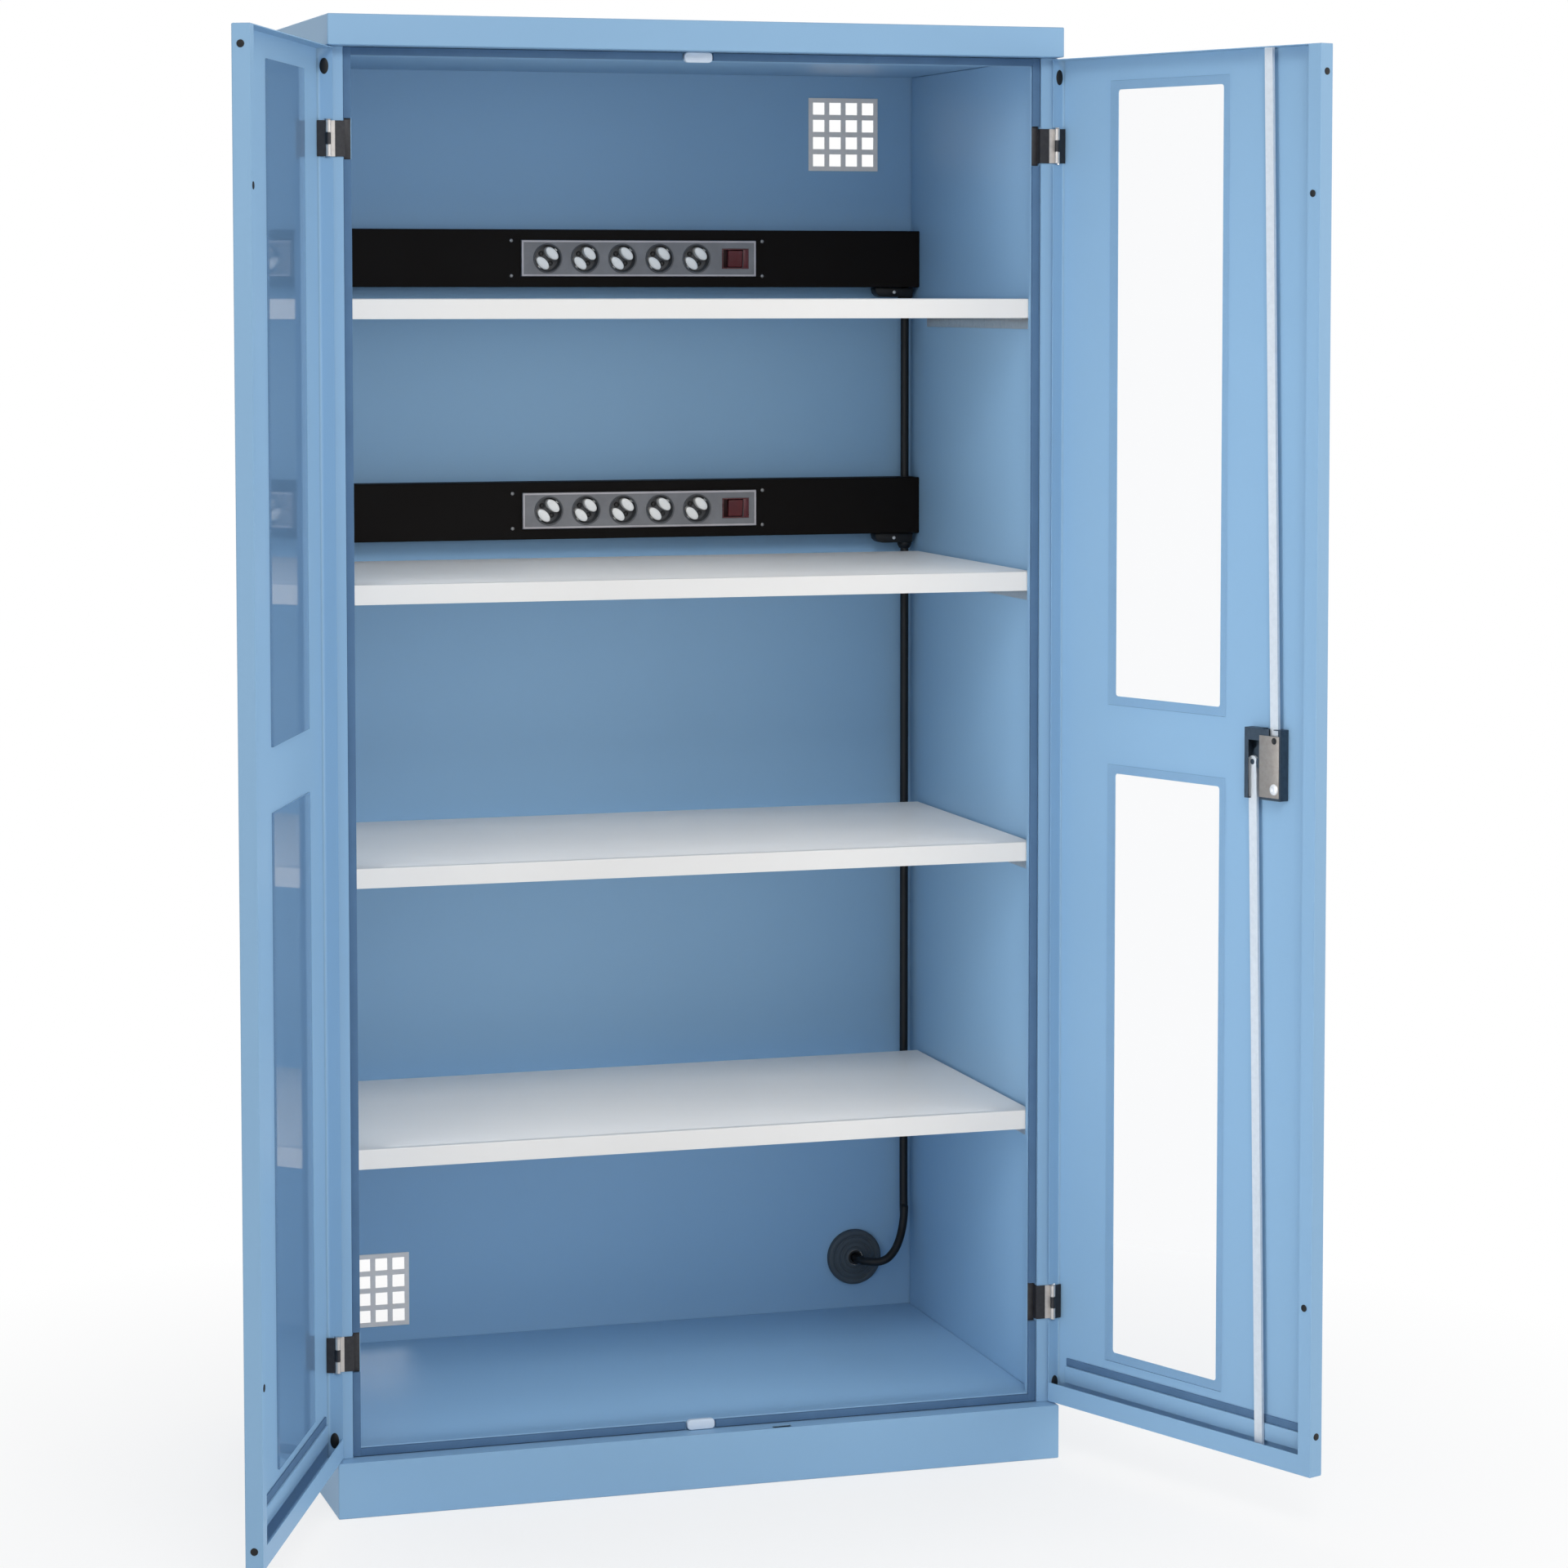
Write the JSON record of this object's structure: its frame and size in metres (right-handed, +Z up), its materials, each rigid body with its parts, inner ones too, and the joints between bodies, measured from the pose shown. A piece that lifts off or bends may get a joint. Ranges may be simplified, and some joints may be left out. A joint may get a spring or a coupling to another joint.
{
  "type": "battery charging cabinet",
  "caption": "Sheet-steel charging cabinet with glazed doors, shelves, switched socket panels on the back wall and a rod lock.",
  "frame": {"origin": "middle of the plinth's front foot flange, on the floor plane, at the cabinet's mid width", "axes": "+Z up, +Y from the doors towards the back wall, +X to the right seen from the front"},
  "size_m": [1.4022, 1.0241, 1.95],
  "materials": {
    "blue_paint": "semi-gloss powder coat, light blue",
    "white_paint": "semi-gloss powder coat, near white",
    "black_paint": "satin powder coat, black",
    "zinc_steel": "bright zinc plate",
    "zinc_grille": "light grey coat",
    "clear_glass": "clear, polished",
    "grey_plastic": "fine matt",
    "white_plastic": "satin",
    "red_plastic": "glossy, dark red",
    "black_plastic": "satin, black",
    "black_rubber": "matt, black",
    "grey_rubber": "matt, dark grey"
  },
  "bodies": {
    "cabinet": {"plinth": "blue_paint", "floor_deck": "blue_paint", "roof": "blue_paint", "back_panel": "blue_paint", "left_side_panel": "blue_paint", "right_side_panel": "blue_paint", "left_inner_wall": "blue_paint", "right_inner_wall": "blue_paint", "upper_vent_grille": "zinc_grille", "lower_vent_grille": "zinc_grille", "shelf_1": "white_paint", "shelf_2": "white_paint", "shelf_3": "white_paint", "shelf_4": "white_paint", "shelf_1_left_rail": "zinc_steel", "shelf_1_right_rail": "zinc_steel", "shelf_2_left_rail": "zinc_steel", "shelf_2_right_rail": "zinc_steel", "shelf_3_left_rail": "zinc_steel", "shelf_3_right_rail": "zinc_steel", "shelf_4_left_rail": "zinc_steel", "shelf_4_right_rail": "zinc_steel", "left_upper_hinge_frame_leaf": "zinc_steel", "left_lower_hinge_frame_leaf": "zinc_steel", "right_upper_hinge_frame_leaf": "zinc_steel", "right_lower_hinge_frame_leaf": "zinc_steel", "left_upper_hinge_pin": "zinc_steel", "left_lower_hinge_pin": "zinc_steel", "right_upper_hinge_pin": "zinc_steel", "right_lower_hinge_pin": "zinc_steel", "upper_power_panel": "black_paint", "lower_power_panel": "black_paint", "upper_socket_strip": "grey_plastic", "lower_socket_strip": "grey_plastic", "upper_cable_gland": "black_rubber", "lower_cable_gland": "black_rubber", "link_cable": "black_rubber", "supply_cable": "black_rubber", "cable_grommet": "grey_rubber", "upper_door_catch": "white_plastic", "lower_door_catch": "white_plastic"},
    "left_door_body": {"left_door": "blue_paint", "left_door_upper_pane": "clear_glass", "left_door_lower_pane": "clear_glass", "left_upper_hinge_door_leaf": "zinc_steel", "left_lower_hinge_door_leaf": "zinc_steel"},
    "right_door_body": {"right_door": "blue_paint", "right_door_upper_pane": "clear_glass", "right_door_lower_pane": "clear_glass", "right_upper_hinge_door_leaf": "zinc_steel", "right_lower_hinge_door_leaf": "zinc_steel", "lock_case": "zinc_steel", "handle_rose": "zinc_steel"},
    "lock_spindle": {"turn_handle": "black_plastic", "rod_cam": "zinc_steel"},
    "lock_cylinder": {"key_cylinder": "zinc_steel"},
    "upper_rod_body": {"upper_rod": "zinc_steel"},
    "lower_rod_body": {"lower_rod": "zinc_steel"},
    "upper_rocker_body": {"upper_rocker": "red_plastic"},
    "lower_rocker_body": {"lower_rocker": "red_plastic"}
  },
  "joints": [
    {"name": "left_door_swing", "type": "hinge", "parent": "cabinet", "child": "left_door_body", "pos_m": [-0.4965, 0.0015, 1], "axis": [0, 0, 1], "range_deg": [0, 112]},
    {"name": "right_door_swing", "type": "hinge", "parent": "cabinet", "child": "right_door_body", "pos_m": [0.4965, 0.0015, 1], "axis": [0, 0, -1], "range_deg": [0, 112]},
    {"name": "handle_turn", "type": "hinge", "parent": "right_door_body", "child": "lock_spindle", "pos_m": [0.64297, -0.36103, 0.99], "axis": [-0.9272, -0.3746, 0], "range_deg": [0, 90]},
    {"name": "key_turn", "type": "hinge", "parent": "lock_spindle", "child": "lock_cylinder", "pos_m": [0.64297, -0.36103, 0.99], "axis": [-0.9272, -0.3746, 0], "range_deg": [0, 90]},
    {"name": "upper_rod_swivel", "type": "hinge", "parent": "lock_spindle", "child": "upper_rod_body", "pos_m": [0.65046, -0.37957, 0.99], "axis": [0.9272, 0.3746, 0], "range_deg": [0, 91.3]},
    {"name": "lower_rod_swivel", "type": "hinge", "parent": "lock_spindle", "child": "lower_rod_body", "pos_m": [0.63548, -0.34248, 0.99], "axis": [0.9272, 0.3746, 0], "range_deg": [0, 91.3]},
    {"name": "upper_rocker_tip", "type": "hinge", "parent": "cabinet", "child": "upper_rocker_body", "pos_m": [0.1955, 0.5217, 1.644], "axis": [-1, 0, 0], "range_deg": [0, 16]},
    {"name": "lower_rocker_tip", "type": "hinge", "parent": "cabinet", "child": "lower_rocker_body", "pos_m": [0.1955, 0.5217, 1.284], "axis": [-1, 0, 0], "range_deg": [0, 16]}
  ],
  "couplings": [
    {"joint": "upper_rod_swivel", "follows": "handle_turn", "ratio": 1.0139},
    {"joint": "lower_rod_swivel", "follows": "handle_turn", "ratio": 1.0139}
  ]
}
